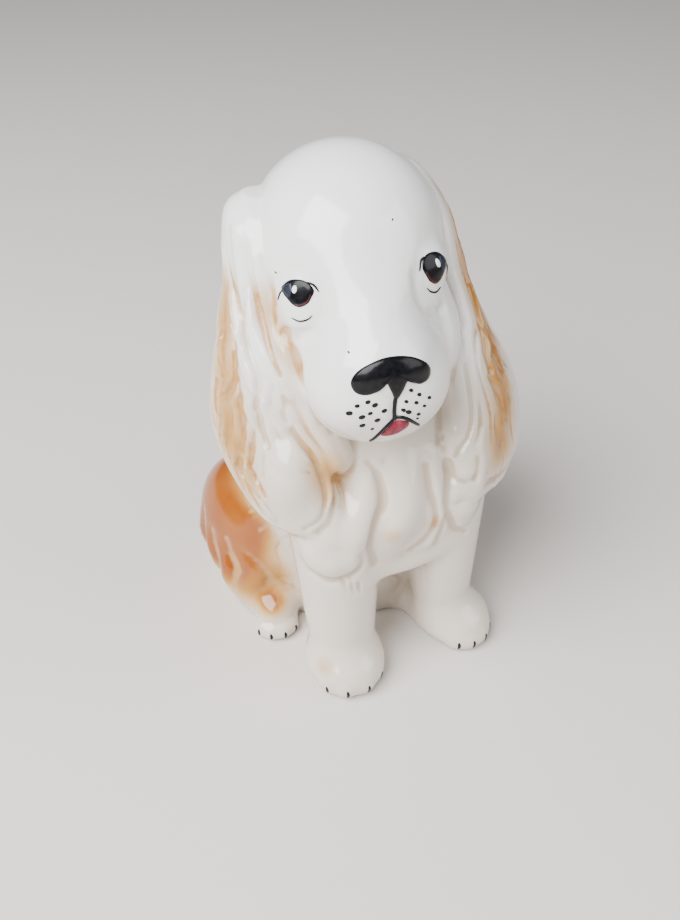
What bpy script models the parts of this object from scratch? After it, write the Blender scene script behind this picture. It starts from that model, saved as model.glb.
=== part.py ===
"""Seated spaniel figurine in slip-cast earthenware, built from the cast clay parts that are luted together.

Run with blender --background --python part.py. Units are metres and +Z is up.
The dog faces -Y, so its right side is at -X.
The shape tables are in design millimetres. MM turns them into metres.
"""

import math

import bmesh
import bpy
from mathutils import Matrix, Vector

# Driving dimensions
FIGURE_HEIGHT = 0.165
DESIGN_HEIGHT = 165.0
MM = FIGURE_HEIGHT / DESIGN_HEIGHT
WALL = 4.0 * MM
LUTE_GAP = 0.3 * MM
VENT_RADIUS = 7.0 * MM
VENT_CENTRE = (-4.0, 4.0)
NECK_HOLE_RADIUS = 9.0 * MM
NECK_CENTRE = (-4.0, 2.0)
VENT_REACH = (-1.0, 8.0)
NECK_REACH = (98.0, 130.0)
HOLE_SEGMENTS = 32
TORSO_HOLLOW_TRIANGLES = 500
HEAD_HOLLOW_TRIANGLES = 600

# Resolution of the modelled surface
VOXEL = 1.5 * MM
FEATURE_VOXEL = 0.4 * VOXEL
SMOOTHING_STEPS = 5
RING_POINTS = 32
STATION_STEPS = 4
BALL_LEVEL = 4
BELOW_FLOOR = 6.0

# The head is turned a little to the dog's right and tipped
HEAD_CENTRE = (-6.0, -8.0, 139.0)
HEAD_TURN = math.radians(-9)
HEAD_TIP = math.radians(-2.5)
HEAD = (
    Matrix.Translation(HEAD_CENTRE)
    @ Matrix.Rotation(HEAD_TURN, 4, "Z")
    @ Matrix.Rotation(HEAD_TIP, 4, "Y")
)
STILL = Matrix.Identity(4)

# Glaze and enamel colours: base colour, roughness, metallic
WHITE_GLAZE = ("white_glaze", (0.86, 0.85, 0.82), 0.12, 0.0)
TAN_GLAZE = ("tan_glaze", (0.78, 0.43, 0.16), 0.14, 0.0)
CREAM_GLAZE = ("cream_glaze", (0.84, 0.72, 0.55), 0.14, 0.0)
BLACK_ENAMEL = ("black_enamel", (0.012, 0.014, 0.018), 0.16, 0.0)
PINK_ENAMEL = ("pink_enamel", (0.62, 0.16, 0.20), 0.18, 0.0)


# Clay shapes. Each adds one closed lump to a bmesh, in design millimetres.


def ball(bm, centre, radii, frame=STILL, turn=0.0):
    """An ellipsoid, turned about Z by turn degrees in its frame."""
    place = frame @ Matrix.Translation(centre) @ Matrix.Rotation(math.radians(turn), 4, "Z")
    matrix = place @ Matrix.Diagonal((*radii, 1.0))
    bmesh.ops.create_icosphere(bm, subdivisions=BALL_LEVEL, radius=1.0, matrix=matrix)


def limb(bm, start, end, start_radius, end_radius, frame=STILL):
    """A tapered limb with round ends: a ball at each end and a cone between their widest rings."""
    low, high = frame @ Vector(start), frame @ Vector(end)
    for centre, radius in ((low, start_radius), (high, end_radius)):
        matrix = Matrix.Translation(centre)
        bmesh.ops.create_icosphere(bm, subdivisions=BALL_LEVEL, radius=radius, matrix=matrix)
    lean = (high - low).to_track_quat("Z", "Y").to_matrix().to_4x4()
    bmesh.ops.create_cone(
        bm,
        cap_ends=True,
        segments=RING_POINTS,
        radius1=start_radius,
        radius2=end_radius,
        depth=(high - low).length,
        matrix=Matrix.Translation((low + high) / 2) @ lean,
    )


def curve_through(before, start, end, after, share):
    """A point on the smooth curve from start to end that also heeds the stations before and after."""
    square, cube = share * share, share * share * share
    return tuple(
        0.5 * (2 * s + (e - b) * share + (2 * b - 5 * s + 4 * e - a) * square + (3 * s - b - 3 * e + a) * cube)
        for b, s, e, a in zip(before, start, end, after)
    )


def refined(stations):
    """The stations with STATION_STEPS smooth steps between each two."""
    padded = [stations[0], *stations, stations[-1]]
    fine = []
    for before, start, end, after in zip(padded, padded[1:], padded[2:], padded[3:]):
        for step in range(STATION_STEPS):
            fine.append(curve_through(before, start, end, after, step / STATION_STEPS))
    return [*fine, stations[-1]]


def rings(bm, stations):
    """A loft through level ellipses: (z, centre x, centre y, half width, half depth, turn in degrees)."""
    loops = []
    for z, x, y, half_width, half_depth, turn in refined(stations):
        place = Matrix.Translation((x, y, z)) @ Matrix.Rotation(math.radians(turn), 4, "Z")
        angles = [math.tau * step / RING_POINTS for step in range(RING_POINTS)]
        around = [place @ Vector((half_width * math.cos(a), half_depth * math.sin(a), 0.0)) for a in angles]
        loops.append([bm.verts.new(point) for point in around])
    for lower, upper in zip(loops, loops[1:]):
        for step in range(RING_POINTS):
            after = (step + 1) % RING_POINTS
            bm.faces.new((lower[step], lower[after], upper[after], upper[step]))
    bm.faces.new(reversed(loops[0]))
    bm.faces.new(loops[-1])


# Shapes of the clay parts, in design millimetres


def shape_torso(bm):
    stations = [
        (-BELOW_FLOOR, 0, 11, 32, 31, 0),
        (0, 0, 11, 33, 32, 0),
        (14, 0, 10, 36, 34, 0),
        (30, 0, 8, 37, 35, 0),
        (48, 0, 3, 36, 36, 0),
        (64, 0, -2, 33, 33, 0),
        (82, -1, -4, 29, 28, 0),
        (98, -3, -3, 24, 23, 0),
        (112, -5, -2, 20, 20, 0),
        (127, -6, -3, 17, 18, 0),
    ]
    rings(bm, stations)


def shape_head(bm):
    ball(bm, (0, 2, 1), (25.5, 29, 25), HEAD)
    ball(bm, (0, -10, -8), (21, 20, 20), HEAD)
    limb(bm, (0, -12, -2), (0, -34, -16), 14, 12, HEAD)
    for side in (-1, 1):
        ball(bm, (side * 6.5, -28, -25), (13, 18.5, 15.5), HEAD)
        ball(bm, (side * 14, -8, -18), (11, 15, 18), HEAD)
    ball(bm, (0, -30, -34), (11, 13, 6), HEAD)


def shape_chest_ruff(bm):
    ball(bm, (3, -31, 62), (20, 14, 24))
    ball(bm, (-1, -25, 82), (24, 12, 20))


def shape_right_foreleg(bm):
    limb(bm, (-19, -30, 60), (-20, -37, 14), 15, 10.5)
    ball(bm, (-20.5, -40, 7), (13, 14, 8.5), turn=5)
    ball(bm, (-20.5, -39, 0), (12.5, 13, 7), turn=5)


def shape_left_foreleg(bm):
    limb(bm, (19, -30, 60), (19.5, -34, 14), 14, 10)
    ball(bm, (22, -38, 7), (12.5, 14, 8.5), turn=12)
    ball(bm, (22, -37, 0), (12, 13, 7), turn=12)
    limb(bm, (12, -20, 4), (17, -30, 4), 6, 7)


def shape_haunch(side):
    """The thigh on one side: -1 is the dog's right."""

    def shape(bm):
        ball(bm, (side * 31, 16, 24), (18, 26, 25), turn=-8 * side)
        ball(bm, (side * 31, 15, 10), (17, 25, 20), turn=-8 * side)

    return shape


def shape_hind_paw(side):
    def shape(bm):
        limb(bm, (side * 36, 0, 8), (side * 36, -14, 7), 9, 8.5)
        limb(bm, (side * 36, 0, 2), (side * 36, -14, 2), 8.5, 8)

    return shape


def shape_tail(bm):
    limb(bm, (-2, 38, 12), (8, 46, 7), 9, 6.5)
    limb(bm, (-1, 38, 3), (8, 46, 2), 8.5, 6)


def shape_right_ear(bm):
    stations = [
        (61, -30, -33, 5, 3, 135),
        (65, -31, -31, 12.5, 7, 135),
        (74, -33, -27, 17, 8.5, 132),
        (90, -36, -19, 19, 8, 124),
        (110, -35.5, -12, 17, 7, 110),
        (130, -31, -4, 15, 7, 98),
        (143, -28, 0, 13, 7.5, 95),
        (151, -25, 2, 9, 6.5, 95),
        (155, -23, 3, 4, 3, 95),
    ]
    rings(bm, stations)


def shape_left_ear(bm):
    stations = [
        (58, 31, -33, 4, 3, -135),
        (62, 32, -31, 11.5, 6.5, -132),
        (72, 34, -27, 17, 8.5, -130),
        (88, 35, -19, 19.5, 8.5, -122),
        (106, 32, -12, 18.5, 8, -110),
        (126, 25, -6, 15.5, 7, -100),
        (142, 19.5, -2, 12, 6.5, -95),
        (152, 15, 1, 9, 5.5, -95),
        (157, 12, 2, 4, 3, -95),
    ]
    rings(bm, stations)


def shape_nose(bm):
    ball(bm, (0, -43.5, -12.5), (9, 5, 4.6), HEAD)
    for side in (-1, 1):
        ball(bm, (side * 6.6, -43, -15), (4.4, 4.8, 4.2), HEAD)


def shape_eye(side):
    def shape(bm):
        ball(bm, (side * 17.2, -18.6, -0.5), (5.6, 3.2, 4.9), HEAD, turn=38 * side)

    return shape


def shape_tongue(bm):
    ball(bm, (0.5, -44.5, -33), (3.4, 4.5, 2.0), HEAD)


# Turning a lump of clay shapes into one part


def evaluated_mesh(obj):
    graph = bpy.context.evaluated_depsgraph_get()
    return bpy.data.meshes.new_from_object(obj.evaluated_get(graph))


def flatten_foot(mesh, height=0.0):
    """Cuts away what lies under a level plane and closes the flat foot."""
    bm = bmesh.new()
    bm.from_mesh(mesh)
    everything = bm.verts[:] + bm.edges[:] + bm.faces[:]
    cut_made = bmesh.ops.bisect_plane(
        bm, geom=everything, dist=1e-7, plane_co=(0, 0, height), plane_no=(0, 0, -1), clear_outer=True
    )
    rim = [item for item in cut_made["geom_cut"] if isinstance(item, bmesh.types.BMEdge)]
    if rim:
        bmesh.ops.contextual_create(bm, geom=rim)
        bmesh.ops.triangulate(bm, faces=[face for face in bm.faces if len(face.verts) > 4])
    bmesh.ops.recalc_face_normals(bm, faces=bm.faces[:])
    if bm.calc_volume(signed=True) < 0:
        bmesh.ops.reverse_faces(bm, faces=bm.faces[:])
    bm.to_mesh(mesh)
    bm.free()


def move_skin(mesh, distance):
    """Moves a closed skin out along its normals, or in where distance is negative."""
    normals = [vertex.normal.copy() for vertex in mesh.vertices]
    for vertex, normal in zip(mesh.vertices, normals):
        vertex.co += normal * distance


def fused_mesh(name, shape, triangles, voxel):
    """One smooth skin of about that many triangles around the lumps that shape adds."""
    bm = bmesh.new()
    shape(bm)
    bmesh.ops.transform(bm, matrix=Matrix.Scale(MM, 4), verts=bm.verts[:])
    bmesh.ops.recalc_face_normals(bm, faces=bm.faces[:])
    mesh = bpy.data.meshes.new(name)
    bm.to_mesh(mesh)
    bm.free()
    lump = bpy.data.objects.new(name + "_lump", mesh)
    bpy.context.scene.collection.objects.link(lump)
    fuse = lump.modifiers.new("fuse", "REMESH")
    fuse.mode = "VOXEL"
    fuse.voxel_size = voxel
    smooth = lump.modifiers.new("smooth", "SMOOTH")
    smooth.factor = 0.5
    smooth.iterations = SMOOTHING_STEPS
    dense = len(evaluated_mesh(lump).polygons) * 2
    thin = lump.modifiers.new("thin", "DECIMATE")
    thin.ratio = min(1.0, triangles / dense)
    made = evaluated_mesh(lump)
    bpy.data.objects.remove(lump)
    made.name = name
    return made


def material(glaze):
    name, colour, roughness, metallic = glaze
    found = bpy.data.materials.get(name)
    if found:
        return found
    made = bpy.data.materials.new(name)
    made.use_nodes = True
    shader = made.node_tree.nodes["Principled BSDF"]
    shader.inputs["Base Color"].default_value = (*colour, 1.0)
    shader.inputs["Roughness"].default_value = roughness
    shader.inputs["Metallic"].default_value = metallic
    return made


def add_object(name, mesh, parent):
    obj = bpy.data.objects.new(name, mesh)
    obj.parent = parent
    bpy.context.scene.collection.objects.link(obj)
    return obj


def add_part(name, shape, triangles, glaze, parent, voxel=VOXEL):
    mesh = fused_mesh(name, shape, triangles, voxel)
    flatten_foot(mesh)
    mesh.materials.clear()
    mesh.materials.append(material(glaze))
    mesh.shade_smooth()
    return add_object(name, mesh, parent)


def hide_as_cutter(obj):
    obj.hide_render = True
    obj.display_type = "WIRE"


def grown_copy(part):
    """A hidden copy of the part, larger by the lute gap all round."""
    mesh = part.data.copy()
    move_skin(mesh, LUTE_GAP)
    copy = add_object(part.name + "_grown", mesh, part.parent)
    hide_as_cutter(copy)
    return copy


def cast_hollow(name, shape, triangles, parent):
    """The hidden hollow that slip casting leaves, one wall thickness inside the shape."""
    mesh = fused_mesh(name, shape, triangles, VOXEL)
    move_skin(mesh, -WALL)
    flatten_foot(mesh, WALL)
    hollow = add_object(name, mesh, parent)
    hide_as_cutter(hollow)
    return hollow


def cylinder_cutter(name, radius, low, high, parent):
    bm = bmesh.new()
    middle = Matrix.Translation((low + high) / 2)
    height = (high - low).length
    bmesh.ops.create_cone(
        bm,
        cap_ends=True,
        segments=HOLE_SEGMENTS,
        radius1=radius,
        radius2=radius,
        depth=height,
        matrix=middle,
    )
    mesh = bpy.data.meshes.new(name)
    bm.to_mesh(mesh)
    bm.free()
    cutter = add_object(name, mesh, parent)
    hide_as_cutter(cutter)
    return cutter


def cut(part, cutters):
    for cutter in cutters:
        boolean = part.modifiers.new("cut by " + cutter.name, "BOOLEAN")
        boolean.operation = "DIFFERENCE"
        boolean.solver = "EXACT"
        boolean.object = cutter


def build_parts(figurine):
    """Adds the parts in the order they are luted, each cut to lie against the earlier ones."""
    plan = [
        ("head_shell", shape_head, 1500, WHITE_GLAZE),
        ("torso_shell", shape_torso, 1100, WHITE_GLAZE),
        ("chest_ruff", shape_chest_ruff, 420, WHITE_GLAZE),
        ("right_foreleg", shape_right_foreleg, 560, WHITE_GLAZE),
        ("left_foreleg", shape_left_foreleg, 560, WHITE_GLAZE),
        ("right_haunch", shape_haunch(-1), 420, TAN_GLAZE),
        ("left_haunch", shape_haunch(1), 420, TAN_GLAZE),
        ("right_hind_paw", shape_hind_paw(-1), 260, CREAM_GLAZE),
        ("left_hind_paw", shape_hind_paw(1), 260, CREAM_GLAZE),
        ("tail", shape_tail, 220, TAN_GLAZE),
        ("right_ear", shape_right_ear, 560, CREAM_GLAZE),
        ("left_ear", shape_left_ear, 560, CREAM_GLAZE),
    ]
    parts = {}
    grown = []
    for name, shape, triangles, glaze in plan:
        part = add_part(name, shape, triangles, glaze, figurine)
        cut(part, grown)
        grown.append(grown_copy(part))
        parts[name] = part
    return parts, grown[0]


def hollow_shells(parts, figurine):
    """Cuts the two cast hollows, the vent in the foot and the neck hole between them."""
    head, torso = parts["head_shell"], parts["torso_shell"]
    vent_foot, vent_top = (Vector((*VENT_CENTRE, height)) * MM for height in VENT_REACH)
    neck_foot, neck_top = (Vector((*NECK_CENTRE, height)) * MM for height in NECK_REACH)
    vent = cylinder_cutter("vent", VENT_RADIUS, vent_foot, vent_top, figurine)
    neck_hole = cylinder_cutter("neck_hole", NECK_HOLE_RADIUS, neck_foot, neck_top, figurine)
    cut(torso, [cast_hollow("torso_hollow", shape_torso, TORSO_HOLLOW_TRIANGLES, figurine), vent])
    cut(head, [cast_hollow("head_hollow", shape_head, HEAD_HOLLOW_TRIANGLES, figurine), neck_hole])


def build_face(grown_head, figurine):
    """The raised enamelled features, each lying on the head."""
    features = [
        ("nose", shape_nose, 260, BLACK_ENAMEL),
        ("tongue", shape_tongue, 90, PINK_ENAMEL),
        ("right_eye", shape_eye(-1), 110, BLACK_ENAMEL),
        ("left_eye", shape_eye(1), 110, BLACK_ENAMEL),
    ]
    for name, shape, triangles, glaze in features:
        part = add_part(name, shape, triangles, glaze, figurine, voxel=FEATURE_VOXEL)
        cut(part, [grown_head])


def centre_on_foot(figurine):
    """Moves the figurine so that its box is centred over the origin, standing on Z = 0."""
    graph = bpy.context.evaluated_depsgraph_get()
    corners = [
        corner
        for obj in bpy.context.scene.objects
        if obj.type == "MESH" and not obj.hide_render
        for corner in obj.evaluated_get(graph).bound_box
    ]
    for axis in (0, 1):
        low = min(corner[axis] for corner in corners)
        high = max(corner[axis] for corner in corners)
        figurine.location[axis] = -(low + high) / 2


def main():
    for obj in list(bpy.data.objects):
        bpy.data.objects.remove(obj)
    figurine = bpy.data.objects.new("figurine", None)
    bpy.context.scene.collection.objects.link(figurine)
    parts, grown_head = build_parts(figurine)
    hollow_shells(parts, figurine)
    build_face(grown_head, figurine)
    centre_on_foot(figurine)
    bpy.context.view_layer.update()


main()
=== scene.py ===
"""The glazed and painted spaniel, modelled over its packed clay parts.

The skin is sculpted as a field of distances on a fine grid, in design millimetres, and is
cut into the clay parts. The enamel (nose, eyes, tongue, mouth line, whisker dots, claws)
is laid on that skin as thin raised pieces.

Design frame: the dog faces -Y, its right side is at -X, and Z = 0 is the plane it stands on.
"""

import math

import bmesh
import bpy
import numpy as np
import openvdb
from mathutils import Matrix, Quaternion, Vector


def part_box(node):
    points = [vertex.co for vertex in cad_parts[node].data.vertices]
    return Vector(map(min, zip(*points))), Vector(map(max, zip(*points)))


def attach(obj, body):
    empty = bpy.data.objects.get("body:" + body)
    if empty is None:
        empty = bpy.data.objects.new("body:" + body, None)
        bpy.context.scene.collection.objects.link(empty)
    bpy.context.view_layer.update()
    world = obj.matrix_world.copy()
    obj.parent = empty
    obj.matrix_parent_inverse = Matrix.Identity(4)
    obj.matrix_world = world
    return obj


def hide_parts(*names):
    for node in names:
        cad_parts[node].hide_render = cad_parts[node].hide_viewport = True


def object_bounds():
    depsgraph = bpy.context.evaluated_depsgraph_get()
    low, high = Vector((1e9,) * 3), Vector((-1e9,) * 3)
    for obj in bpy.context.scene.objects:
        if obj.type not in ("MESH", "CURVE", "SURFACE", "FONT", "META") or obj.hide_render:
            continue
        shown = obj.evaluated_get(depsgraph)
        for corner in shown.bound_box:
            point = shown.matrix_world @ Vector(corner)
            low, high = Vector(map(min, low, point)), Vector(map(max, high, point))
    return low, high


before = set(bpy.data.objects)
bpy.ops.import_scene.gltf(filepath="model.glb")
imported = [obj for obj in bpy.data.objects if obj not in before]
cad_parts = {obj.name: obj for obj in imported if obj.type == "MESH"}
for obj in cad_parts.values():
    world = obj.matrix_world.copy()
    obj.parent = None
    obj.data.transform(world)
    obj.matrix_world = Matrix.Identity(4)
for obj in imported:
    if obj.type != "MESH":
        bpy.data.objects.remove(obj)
cad_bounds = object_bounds()

# ------------------------ sizes

DESIGN_HEIGHT = 165.0
DESIGN_TORSO_MIDDLE = (0.0, 4.5)
VENT_RADIUS = 7.0
VENT_CENTRE = (-4.0, 4.0)
VENT_REACH = 8

lowest, highest = (np.array(corner) for corner in cad_bounds)
MM = (highest[2] - lowest[2]) / DESIGN_HEIGHT
torso_low, torso_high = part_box("torso_shell")
torso_middle = (torso_low + torso_high) / 2
ORIGIN = np.array([torso_middle.x, torso_middle.y, lowest[2]]) - MM * np.array([*DESIGN_TORSO_MIDDLE, 0.0])

VOXEL = 0.6
GRID_LOW = np.array([-60.0, -64.0, -3.0])
GRID_HIGH = np.array([60.0, 60.0, 170.0])
FAR = 12.0  # the distance given to points that no shape is near
BLEND_MARGIN = 3  # how far past its box and its blend a shape is worked out
BORDER_FADE = 2  # rounds of smoothing of a groove at the border of its part


def place(points):
    """Design millimetres to the frame's metres."""
    return np.asarray(points, float) * MM + ORIGIN


# ------------------------ distance shapes


def soft_min(first, second, blend):
    """The smaller of two distances, rounded where they are within blend of each other."""
    near = np.maximum(blend - np.abs(first - second), 0) / max(blend, 1e-6)
    return np.minimum(first, second) - near * near * blend / 4


def turned(axis, degrees):
    return np.array(Matrix.Rotation(math.radians(degrees), 3, axis))


def ellipsoid_distance(across, radii):
    scaled = np.linalg.norm(across / radii, axis=-1)
    slope = np.linalg.norm(across / np.square(radii), axis=-1)
    return np.where(scaled < 1e-6, -min(radii), scaled * (scaled - 1) / np.maximum(slope, 1e-9))


def ellipsoid(centre, radii, axes=None):
    """(low corner, high corner, distance function) of an ellipsoid whose axes are the columns of axes."""
    centre, radii = np.array(centre, float), np.array(radii, float)
    axes = np.eye(3) if axes is None else axes
    reach = np.sqrt(((axes * radii) ** 2).sum(1))
    return centre - reach, centre + reach, lambda p: ellipsoid_distance((p - centre) @ axes, radii)


def tapered(start, end, start_radius, end_radius):
    """A rod with round ends of two radii."""
    start, end = np.array(start, float), np.array(end, float)
    run = end - start
    reach = max(start_radius, end_radius)

    def distance(p):
        share = np.clip(((p - start) @ run) / max(run @ run, 1e-9), 0, 1)
        return np.linalg.norm(p - start - share[..., None] * run, axis=-1) - (
            start_radius + (end_radius - start_radius) * share
        )

    return np.minimum(start, end) - reach, np.maximum(start, end) + reach, distance


def curve(points, steps=6):
    """Points on the smooth curve through the given points, with steps points for each stretch."""
    points = np.array(points, float)
    padded = np.vstack([2 * points[0] - points[1], points, 2 * points[-1] - points[-2]])
    share = np.linspace(0, 1, steps, endpoint=False)[:, None]
    made = []
    for a, b, c, d in zip(padded, padded[1:], padded[2:], padded[3:]):
        square = 2 * a - 5 * b + 4 * c - d
        cube = 3 * b - a - 3 * c + d
        made.append(0.5 * (2 * b + (c - a) * share + square * share**2 + cube * share**3))
    return np.vstack([*made, points[-1:]])


def strand(points, radii, steps=5):
    """A round lock along the smooth curve through points, whose radius follows radii from end to end."""
    path = curve(points, steps)
    along = np.linspace(0, 1, len(path))
    widths = np.interp(along, np.linspace(0, 1, len(radii)), radii)
    rods = [tapered(a, b, ra, rb) for a, b, ra, rb in zip(path, path[1:], widths, widths[1:])]
    low = np.min([rod[0] for rod in rods], 0)
    high = np.max([rod[1] for rod in rods], 0)
    return low, high, rods


def smooth_step(low, high, value):
    share = np.clip((value - low) / (high - low), 0, 1)
    return share * share * (3 - 2 * share)


class Loft:
    """A body through level ellipses: (z, centre x, centre y, half width, half depth, turn in degrees)."""

    def __init__(self, stations):
        self.table = curve(stations, 12)
        self.table[:, 3:5] = np.maximum(self.table[:, 3:5], 0.5)
        self.table = self.table[np.argsort(self.table[:, 0])]

    def at(self, z):
        z = np.clip(z, self.table[0, 0], self.table[-1, 0])
        return [np.interp(z, self.table[:, 0], self.table[:, column]) for column in range(1, 6)]

    def skin(self, z, turn, out=0.0):
        """The point at height z and turn degrees from the width axis, raised by out."""
        x, y, half_width, half_depth, tilt = self.at(z)
        turn, tilt = math.radians(turn), math.radians(tilt)
        u, v = (half_width + out) * math.cos(turn), (half_depth + out) * math.sin(turn)
        cos, sin = math.cos(tilt), math.sin(tilt)
        return np.array([x + u * cos - v * sin, y + u * sin + v * cos, z])

    def across(self, p):
        """How far points lie from the middle, along the width and the depth, and the half sizes there."""
        x, y, half_width, half_depth, tilt = self.at(p[..., 2])
        tilt = np.radians(tilt)
        dx, dy = p[..., 0] - x, p[..., 1] - y
        u = dx * np.cos(tilt) + dy * np.sin(tilt)
        v = -dx * np.sin(tilt) + dy * np.cos(tilt)
        return u, v, half_width, half_depth

    def turn(self, p):
        u, v, half_width, half_depth = self.across(p)
        return np.degrees(np.arctan2(v / half_depth, u / half_width))

    def shape(self):
        """(low corner, high corner, distance function), like the other shapes."""
        z, x, y = self.table[:, :3].T
        reach = self.table[:, 3:5].max(1)
        low = np.array([(x - reach).min(), (y - reach).min(), z[0]])
        high = np.array([(x + reach).max(), (y + reach).max(), z[-1]])
        return low, high, self.distance

    def distance(self, p):
        u, v, half_width, half_depth = self.across(p)
        scaled = np.sqrt((u / half_width) ** 2 + (v / half_depth) ** 2)
        slope = np.sqrt((u / half_width**2) ** 2 + (v / half_depth**2) ** 2)
        inside = -np.minimum(half_width, half_depth)
        level = np.where(scaled < 1e-6, inside, scaled * (scaled - 1) / np.maximum(slope, 1e-9))
        beyond = p[..., 2] - np.clip(p[..., 2], self.table[0, 0], self.table[-1, 0])
        return np.where(beyond == 0, level, np.hypot(np.maximum(level, 0), beyond))


# ------------------------ the grid of clay


RAY_STEPS = 60
RAY_SHARE = 0.85  # a ray moves this share of its distance to the skin
RAY_STEP_RANGE = (-2, 8)


class Clay:
    """The distance to the skin at each grid point, and the clay part nearest to it."""

    def __init__(self):
        self.shape = tuple(np.ceil((GRID_HIGH - GRID_LOW) / VOXEL).astype(int))
        self.field = np.full(self.shape, FAR, np.float32)
        self.nearest = np.full(self.shape, FAR, np.float32)
        self.part = np.zeros(self.shape, np.uint8)
        self.names = []

    def block(self, low, high, margin):
        """Where the box from low to high lies in the grid, and the points of the grid there."""
        start = np.maximum(((low - margin - GRID_LOW) / VOXEL).astype(int), 0)
        stop = np.minimum(((high + margin - GRID_LOW) / VOXEL).astype(int) + 2, self.shape)
        axes = [GRID_LOW[i] + VOXEL * np.arange(start[i], stop[i]) for i in range(3)]
        where = tuple(slice(a, b) for a, b in zip(start, stop))
        return where, np.stack(np.meshgrid(*axes, indexing="ij"), -1)

    def measure(self, shape, margin):
        """Where a shape is near, and the distance to it there; a strand is measured rod by rod."""
        low, high, distance = shape
        where, points = self.block(low, high, margin)
        if callable(distance):
            return where, distance(points).astype(np.float32)
        field = np.full(points.shape[:-1], FAR, np.float32)
        for rod_low, rod_high, rod in distance:
            first = np.maximum(((rod_low - margin - points[0, 0, 0]) / VOXEL).astype(int), 0)
            last = ((rod_high + margin - points[0, 0, 0]) / VOXEL).astype(int) + 2
            inner = tuple(slice(a, max(b, a)) for a, b in zip(first, last))
            if points[inner].size:
                field[inner] = np.minimum(field[inner], rod(points[inner]))
        return where, field

    def add(self, part, shape, blend):
        """Adds a shape to a clay part and blends it into the skin."""
        if part not in self.names:
            self.names.append(part)
        where, distance = self.measure(shape, blend + BLEND_MARGIN)
        self.field[where] = soft_min(self.field[where], distance, blend)
        closer = distance < self.nearest[where]
        self.nearest[where] = np.where(closer, distance, self.nearest[where])
        self.part[where] = np.where(closer, self.names.index(part), self.part[where])

    def carve(self, shape, blend):
        """Takes a shape out of the skin."""
        where, distance = self.measure(shape, blend + BLEND_MARGIN)
        self.field[where] = -soft_min(-self.field[where], distance, blend)

    def sample(self, points, grid=None):
        """The field at points, by linear interpolation."""
        grid = self.field if grid is None else grid
        at = np.clip((np.asarray(points) - GRID_LOW) / VOXEL, 0, np.array(self.shape) - 1.001)
        base = at.astype(int)
        share = at - base
        total = np.zeros(at.shape[:-1])
        for corner in np.ndindex(2, 2, 2):
            weight = np.prod(np.where(corner, share, 1 - share), axis=-1)
            total += weight * grid[tuple((base + corner)[..., i] for i in range(3))]
        return total

    def slope(self, points):
        """The unit direction out of the clay at points."""
        steps = np.eye(3) * VOXEL
        found = np.stack([self.sample(points + step) - self.sample(points - step) for step in steps], -1)
        return found / np.maximum(np.linalg.norm(found, axis=-1, keepdims=True), 1e-9)

    def strike(self, points, direction):
        """Where rays from points along direction meet the skin."""
        points = np.array(points, float)
        direction = np.broadcast_to(np.asarray(direction, float), points.shape)
        for _ in range(RAY_STEPS):
            points = points + direction * np.clip(self.sample(points), *RAY_STEP_RANGE)[..., None] * RAY_SHARE
        return points

    def settle(self, points, steps=8):
        """Points moved along the slope of the field onto the skin."""
        points = np.array(points, float)
        for _ in range(steps):
            points = points - self.slope(points) * self.sample(points)[:, None]
        return points

    def groove(self, shape_box, cut, part):
        """Sinks the skin of one part by cut(points), faded out over its borders."""
        low, high = shape_box
        where, points = self.block(np.array(low, float), np.array(high, float), BLEND_MARGIN)
        mine = (self.part[where] == self.names.index(part)).astype(np.float32)
        for axis in (0, 1, 2):
            for _ in range(BORDER_FADE):
                mine = (np.roll(mine, 1, axis) + mine + np.roll(mine, -1, axis)) / 3
        self.field[where] += (cut(points) * mine).astype(np.float32)


# ------------------------ hair


def comb_wave(phase):
    """1 in a groove, falling to 0 on the round locks between the grooves."""
    return (1 - np.abs(np.sin(np.pi * phase))) ** 2


def comb(clay, part, loft, locks, depth, strength):
    """Combs wavy grooves down a loft, locks of them around it, with a strength of z and turn.

    Slow waves bend the grooves and vary their depth, so that no two locks are the same.
    """
    low, high, _ = loft.shape()

    def cut(points):
        turn, z = loft.turn(points), points[..., 2]
        swing = np.sin(np.radians(turn))
        sway = np.cos(np.radians(turn))
        bend = 0.38 * np.sin(z / 8.3 + 3.1 * swing) + 0.26 * np.sin(z / 4.6 - 4.3 * sway + 2.0)
        patchy = 0.6 + 0.4 * np.sin(z / 9.7 + 5.2 * swing) * np.sin(z / 6.4 - 3.7 * sway + 1.0)
        wide = comb_wave(locks * turn / 360 + bend)
        fine = comb_wave(2 * locks * turn / 360 + 1.7 * bend + 0.3)
        return (depth * wide + 0.35 * depth * fine) * patchy * strength(z, turn)

    clay.groove((low, high), cut, part)


def laid(clay, route, start, direction, steps=5):
    """The smooth curve through route, a list of points, dropped on the skin along direction."""
    path = curve(route, steps) + np.asarray(start, float)
    return clay.strike(path, direction)


def add_locks(clay, part, routes, start, direction, radii, sunk=0.45, blend=1.2):
    """Raises a lock along each route, sunk by that share of its radius."""
    for path in [laid(clay, route, start, direction) for route in routes]:
        path = path - clay.slope(path) * max(radii) * sunk
        clay.add(part, strand(path, radii, 1), blend)


def cut_along(clay, path, radius, depth, blend=1.0):
    """Cuts a furrow along a path on the skin, fading to nothing at its ends."""
    taper = np.sin(np.linspace(0.12, 0.88, len(path)) * math.pi)[:, None]
    path = path + clay.slope(path) * (radius - depth * taper)
    clay.carve(strand(path, [radius], 1), blend)


def cut_furrows(clay, routes, start, direction, radius, depth, blend=1.0):
    for path in [laid(clay, route, start, direction) for route in routes]:
        cut_along(clay, path, radius, depth, blend)


# ------------------------ head frame

HEAD_CENTRE = np.array([-6.0, -8.0, 139.0])
HEAD_AXES = turned("Z", -9) @ turned("Y", -2.5)


def on_head(*point):
    """A point given in millimetres from the middle of the head, along the head's own axes."""
    return HEAD_CENTRE + HEAD_AXES @ np.array(point, float)


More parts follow.
